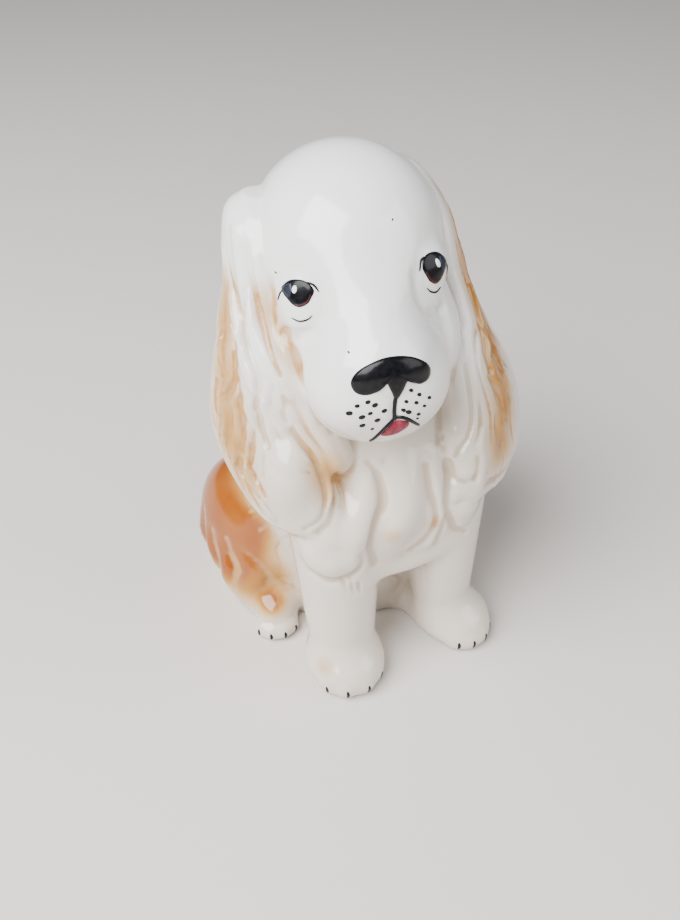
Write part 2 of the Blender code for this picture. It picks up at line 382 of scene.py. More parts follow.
def head_ball(centre, radii, turn=0.0):
    return ellipsoid(on_head(*centre), radii, HEAD_AXES @ turned("Z", turn))


def head_rod(start, end, start_radius, end_radius):
    return tapered(on_head(*start), on_head(*end), start_radius, end_radius)


# ------------------------ the clay parts, coarse

TORSO = Loft([
    (-6, 0, 11, 32, 31, 0),
    (0, 0, 11, 33, 32, 0),
    (14, 0, 10, 36, 34, 0),
    (30, 0, 8, 37, 35, 0),
    (48, 0, 3, 36, 36, 0),
    (64, 0, -2, 33, 33, 0),
    (82, -1, -4, 29, 28, 0),
    (98, -3, -3, 24, 23, 0),
    (112, -5, -2, 20, 20, 0),
    (127, -6, -3, 17, 18, 0),
])
RIGHT_EAR = Loft([
    (61, -30, -33, 5, 3, 135),
    (65, -31, -31, 12.5, 7, 135),
    (74, -33, -27, 17, 8.5, 132),
    (90, -36, -19, 19, 8, 124),
    (110, -35.3, -12, 16.5, 7, 110),
    (127, -31.6, -5, 15, 7, 99),
    (141, -29.8, -1, 13.5, 7.5, 95),
    (148.5, -28.5, 1, 10.5, 7, 95),
    (152.5, -27, 2, 5, 4, 95),
])
LEFT_EAR = Loft([
    (62, 28, -36, 6, 4, -146),
    (66, 29, -34.5, 14, 7, -146),
    (75, 31, -30.5, 19.5, 8.5, -145),
    (88, 34.3, -21.5, 22, 8.8, -129),
    (106, 30.6, -13, 19.3, 8, -112),
    (124, 25.2, -6, 15, 7, -100),
    (142, 21.2, -2, 12, 6.5, -95),
    (152, 16.2, 1, 9, 5.5, -95),
    (157, 12, 2, 4, 3, -95),
])

# each paw: part, centre, heading of the toes, degrees between toes, size
PAWS = [
    ("right_foreleg", (-20.5, -40), -4, 29, 9.4),
    ("left_foreleg", (21, -37), 16, 22, 9.2),
    ("right_hind_paw", (-34.5, -10.5), -14, 26, 7.2),
    ("left_hind_paw", (33, -7.5), 14, 26, 7.2),
]
TOE_STEPS = (-1.5, -0.5, 0.5, 1.5)
FRONT, FROM_FRONT = (0, -62, 0), (0, 1, 0)


def sculpt_torso(clay):
    clay.add("torso_shell", TORSO.shape(), 6)
    clay.add("torso_shell", tapered((-5, 4, 130), (0, 3, 92), 19, 24), 8)


def sculpt_ruff(clay):
    clay.add("chest_ruff", ellipsoid((3, -31, 62), (20, 14, 24)), 8)
    clay.add("chest_ruff", ellipsoid((-1, -25, 82), (24, 12, 20)), 8)


def sculpt_forelegs(clay):
    clay.add("right_foreleg", tapered((-19, -30, 60), (-20, -37, 14), 15, 10.5), 8)
    clay.add("right_foreleg", ellipsoid((-20.5, -40, 7), (13, 14, 8.5), turned("Z", 5)), 5)
    clay.add("left_foreleg", tapered((18, -30, 60), (18, -33, 14), 13.5, 9.5), 8)
    clay.add("left_foreleg", ellipsoid((21, -36.5, 7), (12, 13.5, 8.5), turned("Z", 12)), 5)
    clay.add("left_foreleg", tapered((12, -20, 4), (17, -30, 4), 6, 7), 6)


def toe_directions(heading, spread):
    """Each toe's step from the middle of its paw and its direction, from degrees turned from -Y to +X."""
    for step in TOE_STEPS:
        turn = math.radians(heading + step * spread)
        yield step, np.array([math.sin(turn), -math.cos(turn), 0.0])


def sculpt_toes(clay, part, centre, heading, spread, size):
    """The toes round the front of a paw; the middle two reach further."""
    for step, forward in toe_directions(heading, spread):
        reach = size * (1.12 if abs(step) < 1 else 1.0)
        root = np.array([*centre, size * 0.62]) + forward * reach * 0.45
        tip = np.array([*centre, size * 0.46]) + forward * reach
        clay.add(part, tapered(root, tip, size * 0.44, size * 0.42), 2.2)


def sculpt_hind(clay):
    for side, name in ((-1, "right"), (1, "left")):
        clay.add(name + "_haunch", ellipsoid((side * 31, 16, 24), (18, 26, 25), turned("Z", -8 * side)), 6)
        clay.add(name + "_haunch", ellipsoid((side * 38.5, 3, 12), (8.5, 13, 10)), 5)
    clay.add("right_hind_paw", tapered((-34, 4, 8), (-34, -11, 6.5), 9, 7.5), 5)
    clay.add("left_hind_paw", tapered((32.5, 6, 8), (32.5, -8, 6.5), 9, 7.5), 5)
    clay.add("tail", tapered((-2, 38, 12), (8, 46, 7), 9, 6.5), 5)


def sculpt_head(clay):
    """Skull, cheeks, muzzle, flews, brows and lids, chin and nose, in that order."""
    forms = [
        (head_ball((1, 2, 1), (26.3, 29, 25)), 5),
        (head_ball((0.9, -10, -8), (21.8, 20, 20)), 5),
        (head_rod((0, -12, -2), (0, -34, -16), 14, 12), 6),
    ]
    for side in (-1, 1):
        forms += [
            (head_ball((side * 6.7, -28, -25), (13.2, 18.5, 15.7)), 7),
            (head_ball((side * 14, -8, -18), (11, 15, 18)), 6),
            (head_ball((side * 19, -13, -27), (10, 12, 16)), 6),
            (head_ball((side * 14.4, -17.2, -2.4), (6.3, 6.3, 5.2)), 3),
            (head_ball((side * 14.8, -18.0, -7.6), (6.2, 6.8, 5.8)), 4),
        ]
    forms += [
        (head_ball((17, -16.5, -1.5), (6.5, 6.5, 6)), 4),
        (head_ball((1.5, -28, -26), (17.5, 18, 14)), 4),
        (head_ball((0, -30, -34), (11, 13, 6)), 6),
        (head_ball((0.4, -40.5, -15.5), (10, 6.5, 5.5)), 3),
    ]
    for shape, blend in forms:
        clay.add("head_shell", shape, blend)


FLEW_CREASES = [
    [
        (-22, -21, -13.5),
        (-21.2, -24.5, -17),
        (-20.3, -27.5, -22),
        (-19.5, -31, -28),
        (-17, -30.6, -35.2),
        (-13, -30, -41),
    ],
    [(21, -22.5, -12), (22, -24.5, -18), (22.3, -26, -25), (21.5, -27, -33), (18, -28, -40)],
]


def sculpt_face(clay):
    """The bags under the eyes, the nostrils, the furrow below the nose and the creases of the flews."""
    ahead, inward = on_head(0, -56, 0), HEAD_AXES @ np.array([0, 1.0, 0])
    bag = [(12.4, 0, 1), (12.6, 0, -4.5), (15.3, 0, -10), (18.5, 0, -12.4), (21.8, 0, -12.4)]
    for side in (-1, 1):
        route = [HEAD_AXES @ np.array([side * x, y, z]) for x, y, z in bag]
        cut_furrows(clay, [route], ahead, inward, 1.5, 0.8, 1.5)
        clay.carve(head_ball((0.4 + side * 7.4, -47.6, -17.3), (2.2, 1.8, 1.4)), 1.2)
    clay.carve(head_rod((0.5, -48.4, -21), (0.8, -47.4, -28.5), 0.9, 0.9), 1.6)
    for crease in FLEW_CREASES:
        path = curve([on_head(*point) for point in crease])
        cut_along(clay, clay.settle(path), 1.8, 1.5, 1.6)


CHEST_LOCKS = [
    ([(-13, 86), (-12, 78), (-14, 70), (-17.5, 61), (-17, 53)], 4.2),
    ([(-2, 84), (-1.5, 77), (-2.5, 67), (-6, 58), (-6, 50)], 6.5),
    ([(8.5, 82), (8.5, 76), (9, 68), (9.5, 60), (7, 51)], 3.4),
    ([(18, 74), (19, 66), (18, 58)], 5.5),
    ([(-32, 60), (-28, 54.5), (-22, 54)], 5.0),
]
CHEST_CREASES = [
    [(-11.5, 84), (-9, 79), (-8.8, 71.5), (-12, 66), (-14, 58), (-12, 50)],
    [(5.8, 80), (5.8, 73), (7.2, 66), (7.2, 59), (4.4, 53), (1, 50)],
    [(13, 78), (11, 69), (11.7, 62.5), (15, 54.5), (19, 51)],
    [(11, 62), (10, 56.5), (8.5, 50)],
    [(-31, 50), (-26, 47.5), (-20.5, 49), (-16.7, 52.5), (-17, 57)],
    [(-28.5, 66), (-24.7, 71), (-22.2, 76), (-21, 83)],
]
ELBOW_WISPS = [[(-23, 49), (-21.5, 43)], [(-20.5, 48), (-19.5, 41)], [(-18, 46), (-17.5, 41)]]


def on_front(routes):
    """Routes of (x, z) points as points, ready to be dropped on the skin from the front."""
    return [[(x, 0, z) for x, z in route] for route in routes]


def sculpt_chest_folds(clay):
    """The broad wavy locks of the chest, the hem of the bib, and the creases between them."""
    for route, radius in CHEST_LOCKS:
        radii = [0.5 * radius, radius, radius, 0.7 * radius]
        add_locks(clay, "chest_ruff", on_front([route]), FRONT, FROM_FRONT, radii, 0.6, 3)
    hem = [(-21, -40, 53), (-15, -40, 46), (-7, -39.5, 43.5), (2, -39.5, 43), (10, -38.5, 45), (19, -37, 54)]
    clay.add("chest_ruff", strand(hem, [3.2, 3.8, 3.8, 3.2]), 4)
    cut_furrows(clay, on_front(CHEST_CREASES), FRONT, FROM_FRONT, 1.4, 1.2, 1.4)
    cut_furrows(clay, on_front(ELBOW_WISPS), FRONT, FROM_FRONT, 0.9, 0.6, 0.6)


def sculpt_haunch_folds(clay):
    """The feathered lower edge of each haunch."""
    for side, name in ((-1, "right"), (1, "left")):
        start, direction = (side * 62, 0, 0), (-side, 0, 0)
        locks = [
            [(0, 26, 26), (0, 24, 16), (0, 26, 8)],
            [(0, 17, 25), (0, 13, 16), (0, 14, 7)],
            [(0, 8, 25), (0, 3, 18), (0, 3, 11)],
            [(0, 0, 28), (0, -6, 22), (0, -7, 16)],
        ]
        add_locks(clay, name + "_haunch", locks, start, direction, [1.5, 3.6, 3.8, 2.2], 0.55, 2.5)
        furrows = [
            [(0, 21, 30), (0, 18, 20), (0, 19, 9)],
            [(0, 12, 28), (0, 8, 19), (0, 8, 10)],
            [(0, 4, 30), (0, -1, 22), (0, -2, 14)],
        ]
        cut_furrows(clay, furrows, start, direction, 2.0, 0.4, 2)


def sculpt_ears(clay):
    clay.add("right_ear", RIGHT_EAR.shape(), 1.6)
    clay.add("left_ear", LEFT_EAR.shape(), 1.2)
    clay.add("right_ear", tapered((-26, -24, 117), (-20.5, -31.5, 86), 6.5, 7), 1.5)
    clay.add("left_ear", tapered((21, -24, 110), (19, -34, 86), 5, 7.5), 1.5)


RIGHT_EAR_RIDGES = [
    ([(146, 112), (132, 119), (122, 130), (115, 146), (108, 172)], 2.2),
    ([(142, 150), (134, 159), (126, 171), (121, 183)], 1.5),
    ([(128, 92), (116, 104), (106, 118), (98, 140)], 1.8),
]
RIGHT_EAR_FURROWS = [
    [(143, 132), (131, 141), (122, 154), (114, 172)],
    [(138, 70), (126, 83), (120, 97), (112, 96)],
    [(117, 69), (110, 67), (101, 67)],
    [(108, 94), (101, 93), (97, 97)],
    [(104, 115), (96, 112), (92, 116)],
    [(98, 77), (90, 67), (85, 60)],
    [(104, 88), (95, 89), (88, 81)],
    [(95, 102), (88, 92), (83, 89), (77, 90)],
    [(86, 76), (78, 63), (73, 65), (68, 62)],
    [(88, 60), (83, 54), (74, 50)],
    [(98, 152), (88, 166), (79, 162), (71, 142), (67, 116)],
    [(117, 61), (112, 48)],
    [(121, 88), (119, 100)],
    [(109, 55), (104, 66), (99, 58)],
    [(114, 89), (106, 86), (98, 66)],
    [(96, 59), (91, 54), (85, 38)],
    [(90, 93), (85, 86), (82, 90)],
    [(84, 71), (80, 64), (75, 76)],
    [(132, 120), (120, 116), (111, 124), (102, 112)],
]
LEFT_EAR_FURROWS = [
    [(142, 62), (133, 60), (123, 52), (115, 46)],
    [(121, 54), (111, 44), (104, 40), (97, 54)],
    [(112, 50), (103, 62), (96, 76)],
    [(100, 38), (92, 60), (84, 72)],
    [(107, 70), (93, 98)],
    [(98, 66), (87, 84)],
    [(88, 50), (79, 66)],
    [(80, 25), (73, 32), (67, 40)],
    [(104, -20), (92, -8), (80, -4)],
]


EARS = (("right_ear", RIGHT_EAR, RIGHT_EAR_FURROWS), ("left_ear", LEFT_EAR, LEFT_EAR_FURROWS))
BESIDE_TURN = 9


def sculpt_ear_folds(clay):
    """The folds of the ears, as (height, turn round the ear), with a raised lock beside each furrow."""
    for route, radius in RIGHT_EAR_RIDGES:
        path = [RIGHT_EAR.skin(z, turn, -0.4 * radius) for z, turn in route]
        clay.add("right_ear", strand(path, [0.6 * radius, radius, 0.5 * radius]), 2)
    clay.add("right_ear", ellipsoid(RIGHT_EAR.skin(81, 124, -5), (8.5, 8.5, 13)), 4)
    clay.add("left_ear", ellipsoid(LEFT_EAR.skin(77, -20, -6), (8.5, 8.5, 9)), 4)
    for part, loft, routes in EARS:
        for route in routes:
            beside = clay.settle(curve([loft.skin(z, turn + BESIDE_TURN) for z, turn in route]))
            clay.add(part, strand(beside - 0.9 * clay.slope(beside), [0.6, 1.7, 0.6], 1), 1.6)
        for route in routes:
            path = curve([loft.skin(z, turn) for z, turn in route])
            cut_along(clay, clay.settle(path), 1.2, 1.1, 0.8)
    hem = curve([(13, -40, 79), (17.5, -42, 73), (24, -41, 69), (31, -39, 67), (38, -34, 68)])
    cut_along(clay, clay.settle(hem), 1.6, 1.4, 1)


def ear_strength(z, turn):
    """Combing starts below the smooth top of the ear and is strongest at its outer edge."""
    along = smooth_step(150, 128, z) * smooth_step(58, 68, z)
    return along * (0.45 + 0.55 * smooth_step(130, 80, np.abs(turn)))


def back_strength(z, turn):
    """Combing covers the back between the seat and the nape."""
    return smooth_step(8, 20, z) * smooth_step(130, 100, z)


def sculpt():
    """The whole figure, cut flat at the foot, with the vent."""
    clay = Clay()
    sculpt_torso(clay)
    sculpt_hind(clay)
    sculpt_forelegs(clay)
    sculpt_ruff(clay)
    sculpt_head(clay)
    sculpt_ears(clay)
    for part, loft, _ in EARS:
        comb(clay, part, loft, 11, 0.9, ear_strength)
    sculpt_ear_folds(clay)
    comb(clay, "torso_shell", TORSO, 20, 0.65, back_strength)
    for paw in PAWS:
        sculpt_toes(clay, *paw)
    sculpt_face(clay)
    sculpt_chest_folds(clay)
    sculpt_haunch_folds(clay)
    heights = GRID_LOW[2] + VOXEL * np.arange(clay.shape[2])
    clay.field = np.maximum(clay.field, -heights[None, None, :]).astype(np.float32)
    clay.carve(tapered((*VENT_CENTRE, -VENT_REACH), (*VENT_CENTRE, VENT_REACH), VENT_RADIUS, VENT_RADIUS), 1)
    return clay


clay = sculpt()

# ------------------------ airbrushed colour

# each spot: centre, radius, strength
HAUNCH_TAN = [
    ((-48, 14, 31), 21, 1.0),
    ((-44, 1, 31), 13, 0.95),
    ((-36, 30, 38), 17, 0.8),
    ((-35, -6, 41), 7, 0.4),
    ((-40, -5, 16), 8, 0.4),
    ((-36, -14, 13), 6, 0.65),
    ((-32, -11, 23), 6, 0.35),
]
BODY_TAN = [
    ((-7, -46, 61), 4.5, 0.3),
    ((8, -46, 60), 4, 0.3),
    ((-24, -36, 84), 8, 0.45),
    ((-30, -46, 12), 5, 0.3),
    ((3, 46, 12), 12, 0.6),
    ((0, 34, 66), 18, 0.35),
]
CHEEK_TAN = [(-25.5, -12.5, -4), (-25, -15, -8.5), (-24, -19, -13), (-22.5, -23, -17), (-20.7, -27, -22)]


def tan_spots():
    """Every airbrushed spot: on the body, on both haunches, down the ears and down one cheek."""
    spots = list(BODY_TAN)
    for (x, y, z), radius, strength in HAUNCH_TAN:
        spots += [((x, y, z), radius, strength), ((-x, y, z), radius, strength)]
    for z in (78, 88, 98, 108, 118, 128):
        spots.append((RIGHT_EAR.skin(z, 70), 9, 0.42))
        spots.append((RIGHT_EAR.skin(z, 178), 6, 0.2))
        spots.append((LEFT_EAR.skin(z, 68), 9, 0.55))
    for point in CHEEK_TAN:
        spots.append((on_head(*point), 5, 0.22))
    spots.append((LEFT_EAR.skin(138, 66), 7, 0.45))
    spots.append((LEFT_EAR.skin(147, 70), 6, 0.4))
    return spots


def tan_amount(points):
    """How much tan lies at each point, from 0 to 1."""
    clear = np.ones(len(points))
    for centre, radius, strength in tan_spots():
        reach = ((points - np.array(centre)) ** 2).sum(1) / radius**2
        clear *= 1 - strength * np.exp(-reach)
    return 1 - clear


# ------------------------ meshes

SEAM_DEPTH = 2.0  # how far a piece's walls go into the clay along its seams
CAP_DEPTH = 0.5  # how far a cap is sunk, as a share of the size of its seam
SETTLE_ROUNDS = 6
RELAX_ROUNDS = 3
RELAX_SHARES = (0.5, -0.53)
HOLLOW_REACH = 3
HOLLOW_FULL = 0.22  # the hollow, in millimetres, that counts as full


def skin_mesh(clay):
    """The points and outward quads of the skin."""
    grid = openvdb.FloatGrid(background=FAR)
    grid.copyFromArray(clay.field)
    points, quads = grid.convertToQuads(isovalue=0.0)
    return np.asarray(points, float) * VOXEL + GRID_LOW, np.asarray(quads)


def neighbour_mean(points, quads):
    """The middle of the points next to each point."""
    total, count = np.zeros_like(points), np.zeros(len(points))
    for a, b in ((0, 1), (1, 2), (2, 3), (3, 0)):
        for here, there in ((quads[:, a], quads[:, b]), (quads[:, b], quads[:, a])):
            count += np.bincount(here, minlength=len(points))
            for axis in range(3):
                total[:, axis] += np.bincount(here, points[there, axis], len(points))
    return total / count[:, None]


def relaxed(points, quads):
    """Takes the steps of the grid out of the skin without shrinking it."""
    for _ in range(RELAX_ROUNDS):
        for share in RELAX_SHARES:
            points = points + share * (neighbour_mean(points, quads) - points)
    return points


def point_normals(points, quads):
    faces = np.cross(points[quads[:, 2]] - points[quads[:, 0]], points[quads[:, 3]] - points[quads[:, 1]])
    total = np.zeros_like(points)
    for corner in range(4):
        for axis in range(3):
            total[:, axis] += np.bincount(quads[:, corner], faces[:, axis], len(points))
    return total / np.maximum(np.linalg.norm(total, axis=1, keepdims=True), 1e-12)


def quad_parts(clay, points, quads):
    """The clay part of each quad, with stray quads turned over to the part around them."""
    middle = points[quads].mean(1)
    at = np.clip(((middle - GRID_LOW) / VOXEL).round().astype(int), 0, np.array(clay.shape) - 1)
    part = clay.part[tuple(at.T)].astype(int)
    for _ in range(SETTLE_ROUNDS):
        votes = np.zeros((len(points), len(clay.names)))
        for corner in range(4):
            np.add.at(votes, (quads[:, corner], part), 1)
        part = votes[quads].sum(1).argmax(1)
    return part


def blurred(field, reach):
    """The field, smoothed reach times along each axis."""
    for axis in range(3):
        for _ in range(reach):
            field = (np.roll(field, 1, axis) + field + np.roll(field, -1, axis)) / 3
    return field


def closed_piece(points, normals, quads):
    """The quads, closed by walls sunk into the clay along their borders and a cap over each border."""
    edges = np.concatenate([quads[:, [i, (i + 1) % 4]] for i in range(4)])
    keys = edges[:, 0].astype(np.int64) * len(points) + edges[:, 1]
    back = edges[:, 1].astype(np.int64) * len(points) + edges[:, 0]
    border = edges[~np.isin(keys, back)]
    used, where = np.unique(quads, return_inverse=True)
    local = {old: new for new, old in enumerate(used)}
    verts = list(points[used])
    faces = where.reshape(quads.shape).tolist()
    rim = sorted(set(border.ravel().tolist()))
    inner = {old: len(verts) + i for i, old in enumerate(rim)}
    verts += [points[old] - normals[old] * SEAM_DEPTH for old in rim]
    owner = {old: old for old in rim}

    def root(old):
        while owner[old] != old:
            old = owner[old]
        return old

    for a, b in border.tolist():
        owner[root(a)] = root(b)
    loops = {}
    for a, b in border.tolist():
        faces.append([local[b], local[a], inner[a], inner[b]])
        loops.setdefault(root(a), []).append((a, b))
    for loop in loops.values():
        ring = np.array([verts[inner[a]] for a, _ in loop])
        inward = -np.mean([normals[a] for a, _ in loop], 0)
        reach = np.linalg.norm(ring - ring.mean(0), axis=1).mean()
        centre = len(verts)
        verts.append(ring.mean(0) + inward * reach * CAP_DEPTH)
        faces += [[inner[b], inner[a], centre] for a, b in loop]
    return np.array(verts), faces, used


def add_mesh(name, verts, faces, material, node):
    mesh = bpy.data.meshes.new(name)
    mesh.from_pydata(place(verts).tolist(), [], faces)
    mesh.shade_smooth()
    mesh.materials.append(material)
    piece = bpy.data.objects.new(name, mesh)
    bpy.context.scene.collection.objects.link(piece)
    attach(piece, "root")
    if node:
        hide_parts(node)
    return mesh


def add_skin(clay, glaze):
    """The glazed skin, one closed piece for each clay part, painted and shaded as a whole."""
    points, quads = skin_mesh(clay)
    part = quad_parts(clay, points, quads)
    points = relaxed(points, quads)
    normals = point_normals(points, quads)
    hollow = clay.sample(points, clay.field) - clay.sample(points, blurred(clay.field, HOLLOW_REACH))
    paint = {
        "tan": tan_amount(points),
        # painted shade and painted warm bounce light: 1 on the lower body, fading to 0.1 on the head, so the
        # body's white is darker and warmer
        "painted_lower_shade": 1 - 0.9 * smooth_step(92, 122, points[:, 2]),
        # the hollows: where airbrushed tan really settles in the grooves, and where painted shade darkens the
        # creases
        "pool_and_crease_shade": np.clip(hollow / HOLLOW_FULL, -1, 1),
        "bare": smooth_step(0.9, 0.3, points[:, 2]),
    }
    for index, node in enumerate(clay.names):
        verts, faces, used = closed_piece(points, normals, quads[part == index])
        mesh = add_mesh(node + "_glazed", verts, faces, glaze, node)
        for label, values in paint.items():
            column = np.zeros(len(verts), np.float32)
            column[: len(used)] = values[used]
            mesh.attributes.new(label, "FLOAT", "POINT").data.foreach_set("value", column)
        directions = np.zeros((len(verts), 3))
        directions[: len(used)] = normals[used]
        mesh.normals_split_custom_set_from_vertices(directions.tolist())


# ------------------------ enamel laid on the skin

UP = np.array([0, 0, 1.0])
FACE_STANDOFF = 58.0
SUNK = 0.35  # how far enamel goes into the skin below it, and its middle goes PLUG further
PLUG = 0.5
# a patch's rings and a stroke's section: how far out, and the share of the thickness or the sinking there
PATCH_RINGS = ((1.0, -SUNK), (0.97, 0.4), (0.88, 0.85), (0.65, 1.0), (0.35, 1.0))
STROKE_SECTION = ((-1, -SUNK), (-0.9, 0.4), (-0.5, 1.0), (0.5, 1.0), (0.9, 0.4), (1, -SUNK))


def on_face(flat):
    """Points (across, up) in head millimetres, dropped on the skin from the front of the head."""
    flat = np.asarray(flat, float)
    start = np.stack([flat[:, 0], np.full(len(flat), -FACE_STANDOFF), flat[:, 1]], -1)
    return clay.strike(start @ HEAD_AXES.T + HEAD_CENTRE, HEAD_AXES @ np.array([0, 1.0, 0]))


def closed_curve(points, steps=5):
    """Points on the smooth closed curve through the given points."""
    points = np.array(points, float)
    wrapped = np.vstack([points[-1:], points, points[:2]])
    return curve(wrapped, steps)[steps : -steps - 1]


class Enamel:
    """Closed thin patches and strokes gathered into one piece."""

    def __init__(self, thickness, land=on_face):
        self.thickness, self.land = thickness, land
        self.verts, self.faces = [], []

    def lift(self, flat, height):
        """The flat points on the skin, raised by height times the thickness, or sunk if it is below 0."""
        points = self.land(flat)
        raised = self.thickness * height if height > 0 else height
        return list(points + clay.slope(points) * raised)

    def patch(self, outline, middle=None):
        """A filled patch, crowned towards its middle."""
        rim = closed_curve(outline)
        middle = rim.mean(0) if middle is None else np.array(middle, float)
        base, count = len(self.verts), len(rim)
        for share, height in PATCH_RINGS:
            self.verts += self.lift(middle + (rim - middle) * share, height)
        self.verts += self.lift([middle], 1.0) + self.lift([middle], -SUNK - PLUG)
        top, bottom = len(self.verts) - 2, len(self.verts) - 1
        last = base + (len(PATCH_RINGS) - 1) * count
        for i in range(count):
            j = (i + 1) % count
            for ring in range(len(PATCH_RINGS) - 1):
                a = base + ring * count
                self.faces.append([a + i, a + j, a + count + j, a + count + i])
            self.faces.append([last + i, last + j, top])
            self.faces.append([base + j, base + i, bottom])

    def dot(self, x, z, across, tall=None, lean=0.0):
        """A round or oval dot, across wide and tall high, leaning by degrees."""
        tall = across if tall is None else tall
        ring = np.radians(np.arange(0, 360, 45))
        oval = np.stack([np.cos(ring) * across / 2, np.sin(ring) * tall / 2], -1)
        turn = math.radians(lean)
        spin = np.array([[math.cos(turn), math.sin(turn)], [-math.sin(turn), math.cos(turn)]])
        self.patch(oval @ spin + [x, z])

    def stroke(self, route, width, taper=0.3, steps=6):
        """A brush stroke along route, width wide in the middle and taper of that at its ends."""
        path = curve(route, steps)
        along = np.gradient(path, axis=0)
        along /= np.linalg.norm(along, axis=1, keepdims=True)
        side = np.stack([-along[:, 1], along[:, 0]], -1)
        swell = taper + (1 - taper) * np.sin(np.linspace(0, math.pi, len(path))) ** 0.7
        base = len(self.verts)
        for reach, height in STROKE_SECTION:
            self.verts += self.lift(path + side * (reach * width / 2 * swell)[:, None], height)
        count, wide = len(path), len(STROKE_SECTION)
        for i in range(count - 1):
            for lane in range(wide):
                a, b = base + lane * count + i, base + (lane + 1) % wide * count + i
                self.faces.append([a, b, b + 1, a + 1])
        self.faces.append([base + lane * count for lane in range(wide)][::-1])
        self.faces.append([base + lane * count + count - 1 for lane in range(wide)])

    def finish(self, name, material, node=None):
        """Adds the piece, with every closed body facing outwards."""
        mesh = add_mesh(name, np.array(self.verts), self.faces, material, node)
        shape = bmesh.new()
        shape.from_mesh(mesh)
        bmesh.ops.recalc_face_normals(shape, faces=shape.faces)
        shape.to_mesh(mesh)
        shape.free()


# the face, in millimetres across and up from the middle of the head
NOSE = [
    (-10.1, -16.4), (-9.4, -14.2), (-7.3, -12.1), (-4.2, -10.6), (-0.6, -9.8), (3.5, -10.2),
    (7.2, -11.7), (10.2, -14.2), (11.3, -16.6), (10.4, -18.4), (7.9, -18.9), (6.0, -17.9),
    (4.2, -16.4), (2.8, -19.1), (1.0, -21.8), (-0.3, -18.6), (-1.6, -15.7), (-3.6, -17.9),
    (-6.5, -19.1), (-9.1, -18.4),
]
NOSE_MIDDLE = (0.8, -13.4)
# the eyes, in millimetres from the middle of the eye: outwards along the side of the head, and up
EYE = [
    (5.0, 0.0), (3.5, 1.8), (1.6, 2.9), (-1.3, 3.3), (-3.7, 2.6), (-4.9, 1.1), (-4.5, -0.6),
    (-3.7, -2.1), (-1.8, -3.2), (0.2, -3.0), (2.3, -1.9), (4.2, -1.0),
]
EYE_GREY = [(4.3, 0.1), (3.2, 1.3), (1.7, 2.1), (0.8, 0.7), (1.2, -1.3), (2.7, -1.1)]
EYE_RIM = [(-4.2, 0.3), (-3.4, -1.6), (-1.8, -2.6), (-0.1, -2.5)]
OUTER_LASH = [(4.3, -0.3), (5.5, -2.0), (6.3, -4.0)]
INNER_LASH = [(-2.8, 3.0), (-4.5, 2.5), (-6.0, 0.9)]
LOWER_LID = [(0.6, -6.6), (-1.6, -7.0), (-3.8, -6.2), (-5.0, -5.0)]
EYE_SHINE = (0.2, 0.9)
EYE_MIDDLE = np.array([17.8, -21.9, -0.9])
EYE_TURN = math.radians(45)
EYE_STANDOFF = 8.0
# the hand-painted eyes differ: side, moved outwards, moved up, stretched across and up, lower lid raised
EYES = {"right": (-1, 0, 0, (1, 1), 0), "left": (1, 0.5, 0.9, (0.92, 1.25), 1.9)}
# each dot: across, up, size
WHISKER_DOTS = [
    (-6.2, -20.9, 1.3), (-4.5, -22.0, 1.5), (-8.9, -21.9, 1.2), (-2.2, -24.1, 1.4),
    (-5.8, -24.4, 1.2), (-10.9, -24.2, 1.6), (-7.9, -25.4, 1.6), (-4.0, -27.0, 1.5),
    (-7.8, -28.4, 1.5), (-5.2, -30.2, 0.9), (5.0, -19.5, 1.2), (7.2, -21.4, 1.2),
    (10.1, -23.5, 1.1), (3.6, -22.4, 1.1), (6.3, -23.5, 1.2), (8.6, -25.4, 1.0), (2.8, -24.9, 1.3),
    (4.2, -25.9, 1.6), (7.0, -27.6, 1.2), (6.8, -29.2, 0.8),
]
PHILTRUM = [(0.9, -20.8), (0.6, -24.2), (0.6, -28.0)]
LIPS = [(-5.3, -36.0), (-1.8, -30.2), (0.3, -28.1), (2.4, -27.4), (4.6, -29.0), (7.6, -32.6)]
TONGUE = [(-2.8, -33.6), (-1.4, -30.8), (0.2, -29.0), (2.2, -28.4), (4.4, -29.6), (4.2, -31.8), (0.9, -33.9)]
SPECKS = [(8.3, 14.5), (-21.5, 1.2), (-9.0, -9.5)]


def on_eye(side, shift, rise, stretch):
    """Drops points, given from the middle of an eye, on the skin from straight in front of that eye."""
    across = np.array([side * math.cos(EYE_TURN), math.sin(EYE_TURN), 0])
    inward = np.array([-side * math.sin(EYE_TURN), math.cos(EYE_TURN), 0])
    middle = EYE_MIDDLE * [side, 1, 1] + across * shift - inward * EYE_STANDOFF + np.array([0, 0, rise])

    def land(flat):
        flat = np.asarray(flat, float) * stretch
        start = middle + flat[:, :1] * across + flat[:, 1:] * UP
        return clay.strike(start @ HEAD_AXES.T + HEAD_CENTRE, HEAD_AXES @ inward)

    return land


def add_face(paints):
    """The nose, mouth, tongue, whisker dots and pinholes."""
    black, grey, pink = (paints[name] for name in ("black", "grey", "pink"))
    nose = Enamel(0.5)
    nose.patch(NOSE, NOSE_MIDDLE)
    nose.finish("nose_enamel", black, "nose")
    mouth = Enamel(0.4)
    mouth.stroke(PHILTRUM, 1.2, 1.0)
    mouth.stroke(LIPS, 1.35, 0.6)
    mouth.finish("mouth_line", black)
    tongue = Enamel(0.3)
    tongue.patch(TONGUE)
    tongue.finish("tongue_enamel", pink, "tongue")
    dots = Enamel(0.2)
    for x, z, across in WHISKER_DOTS:
        dots.dot(x, z, 1.15 * across, 0.85 * across, 25 if x < 0 else -35)
    dots.finish("whisker_dots", black)
    specks = Enamel(0.08)
    for x, z in SPECKS:
        specks.dot(x, z, 0.5)
    specks.finish("pinhole_specks", grey)


